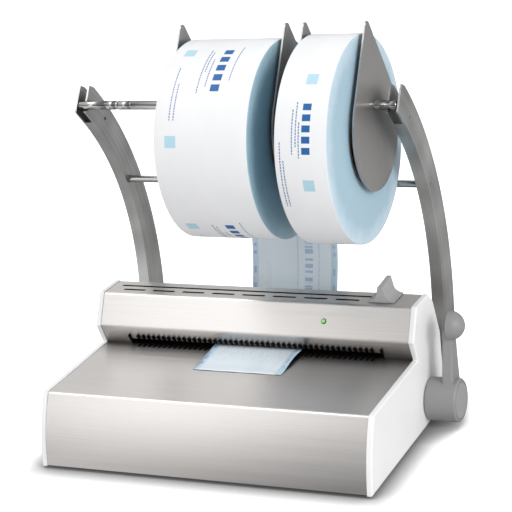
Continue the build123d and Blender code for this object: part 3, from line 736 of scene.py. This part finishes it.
# Pouch web.
# One flat pouch tube, paper below and film above with sealed edges, runs off
# the wide roll, behind the lower rod, through the gap and onto the table.
web_left, web_width = -0.0395, 0.1065
web_thickness = 0.0003
web_step = 0.005  # the longest stretch between two rows of the sheet
gap_front_y = 0.0445
edge_lift = 0.0022
table_ripple = 0.00025
hanging_wave = 0.0006
web_turns = (  # depth, height and bend of each turn
    (0.15033, 0.29304, 0.0),
    (0.1368, 0.2555, 0.0047),
    (0.1425, 0.16, 0.3),
    (0.1425, 0.0868, 0.02),
    (0.058, 0.0874, 0.06),
    (0.044, 0.0895, 0.04),
    (0.0, 0.0837, 0.08),
    (-0.0146, 0.08325, 0.0),
)
web_drift = (  # how far it lies to the right at a share of its length
    (0.0, 0.0), (0.1, 0.001), (0.2, 0.005), (0.3, 0.006), (0.4, 0.0025),
    (0.5, -0.002), (0.56, -0.0045), (0.83, -0.0085), (1.0, -0.01),
)


def straight(a, b, run):
    """Points from one place to the next, without the first."""
    count = max(1, math.ceil((b - a).length / run))
    return [a.lerp(b, (i + 1) / count) for i in range(count)]


def rounded_line(turns, run):
    """Points along a line whose turns are rounded, no further apart than a run."""
    places = [Vector(t[:2]) for t in turns]
    line = [places[0]]
    for before, place, after, turn in zip(places, places[1:], places[2:], turns[1:]):
        come, go = (before - place).normalized(), (after - place).normalized()
        cut = turn[2] * math.tan((math.pi - come.angle(go)) / 2)
        a, b = place + come * cut, place + go * cut
        count = max(2, math.ceil(math.degrees(come.angle(-go)) / 8))
        shares = [i / count for i in range(count + 1)]
        bend = [a.lerp(place, s).lerp(place.lerp(b, s), s) for s in shares]
        line += straight(line[-1], a, run) + bend[1:]
    return line + straight(line[-1], places[-1], run)


def drifted(share):
    """How far the web lies to the right at a share of its length."""
    for (s0, d0), (s1, d1) in zip(web_drift, web_drift[1:]):
        if share <= s1 + 0.0001:
            return d0 + (d1 - d0) * (share - s0) / (s1 - s0)


web_line = rounded_line(web_turns, web_step)
runs = [0.0]
for p, q in zip(web_line, web_line[1:]):
    runs.append(runs[-1] + (q - p).length)
web_length = runs[-1]
gap_run = next(r for r, p in zip(runs, web_line) if p.x < gap_front_y)


def web_spot(co):
    """A grid corner's share of the web's width, and its row along the web."""
    return co.x + 0.5, round((co.y + 0.5) * (len(web_line) - 1))


web_bm = bmesh.new()
web_uv = web_bm.loops.layers.uv.new("flat")
bmesh.ops.create_grid(web_bm, x_segments=24, y_segments=len(web_line) - 1, size=0.5)
for face in web_bm.faces:
    for loop in face.loops:
        u, row = web_spot(loop.vert.co)
        loop[web_uv].uv = (u, runs[row])
for vert in web_bm.verts:
    u, row = web_spot(vert.co)
    y, z = web_line[row]
    x = web_left + web_width * u + drifted(runs[row] / web_length)
    out = (runs[row] - gap_run) / (web_length - gap_run)
    if out > 0:  # on the table, where its right edge lifts a little
        edge = max(0.0, (u - 0.72) / 0.28) ** 2
        z += edge_lift * edge * math.sin(math.pi * min(1.0, out * 1.15))
        z += table_ripple * math.sin(u * 11.0) ** 2 * out
    else:  # behind the housing, where it waves
        wave = hanging_wave * math.sin(u * 9.0 + runs[row] * 14.0)
        y += max(0.0, wave * math.sin(math.pi * min(1.0, runs[row] / 0.2)))
    vert.co = (x, y, z)
bmesh.ops.recalc_face_normals(web_bm, faces=web_bm.faces[:])

film = material("pouch_film", (0.8, 0.84, 0.87), 0.3)
film_tree, film_shader = tree_and_shader(film)
film_shader.inputs["Coat Weight"].default_value = 0.35
flat_place = film_tree.nodes.new("ShaderNodeUVMap")
flat_place.uv_map = "flat"
film_u, film_v, _ = parts_of(film_tree, flat_place.outputs["UV"])


def uneven_marks(tree, along, scale, share):
    """Uneven marks along the web that cover a share of it."""
    noise = tree.nodes.new("ShaderNodeTexNoise")
    noise.noise_dimensions = "1D"
    noise.inputs["Scale"].default_value = scale
    noise.inputs["Detail"].default_value = 1.0
    tree.links.new(along, noise.inputs["W"])
    return number(tree, "GREATER_THAN", noise.outputs["Fac"], 1.0 - share)


film_clouds = fine_noise(film_tree, (40, 14, 14), 3.0)
film_colour = over(film_tree, (0.84, 0.91, 0.96, 1), film_clouds, (0.66, 0.78, 0.87), 0.8)
for low, high, tone, weight in (  # the sealed edges, each with a paler line inside it
    (-0.01, 0.075, (0.6, 0.76, 0.87), 1.0),
    (0.92, 1.01, (0.56, 0.72, 0.82), 1.0),
    (0.075, 0.085, (0.9, 0.94, 0.96), 0.7),
    (0.91, 0.92, (0.9, 0.94, 0.96), 0.7),
):
    film_colour = over(film_tree, film_colour, between(film_tree, film_u, low, high), tone, weight)
behind_gap = number(film_tree, "LESS_THAN", film_v, gap_run)
for low, high, scale, share, tone, weight, everywhere in (  # print along the edges and in between
    (0.018, 0.05, 90, 0.48, (0.3, 0.4, 0.74), 0.75, True),
    (0.945, 0.975, 90, 0.48, (0.3, 0.42, 0.7), 0.6, True),
    (0.53, 0.545, 900, 0.55, (0.3, 0.42, 0.7), 0.45, False),
    (0.775, 0.79, 900, 0.55, (0.3, 0.42, 0.7), 0.45, False),
    (0.62, 0.71, 170, 0.5, (0.2, 0.38, 0.68), 0.6, False),
):
    marks = number(
        film_tree, "MULTIPLY", between(film_tree, film_u, low, high),
        uneven_marks(film_tree, film_v, scale, share),
    )
    if not everywhere:
        marks = number(film_tree, "MULTIPLY", marks, behind_gap)
    film_colour = over(film_tree, film_colour, marks, tone, weight)
film_tree.links.new(film_colour, film_shader.inputs["Base Color"])
vary(film_tree, film_clouds, film_shader.inputs["Roughness"], 0.22, 0.4)
relief(film_tree, film_shader, film_clouds, 0.0004)

web_sheet = object_from("pouch_sheet", web_bm, film)
for face in web_sheet.data.polygons:
    face.use_smooth = True
web_wall = web_sheet.modifiers.new("two layers", "SOLIDIFY")
web_wall.thickness = web_thickness
web_wall.offset = 0.0
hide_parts("pouch_web")
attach(web_sheet, "housing")

# Lever.
# One grey moulding with its hub, arm and round grip. A cap closes the hub, and
# a steel shaft carries it through the side panel.
grey_plastic = moulded("grey_plastic", (0.29, 0.29, 0.29), 0.42)
finish_node("lever_arm", grey_plastic)
finish_node("lever_knob", grey_plastic)
finish_node("lever_cap", moulded("grey_cap", (0.36, 0.36, 0.36), 0.4))
finish_node("lever_shaft", rod_steel)

# Cutter.
# The grey grip slides in the head's slot and pulls the blade along it.
finish_node("cutter_knob", moulded("pale_grey_grip", (0.4, 0.4, 0.4), 0.42))
finish_node("cutter_stem", jaw_steel)

bpy.context.view_layer.update()
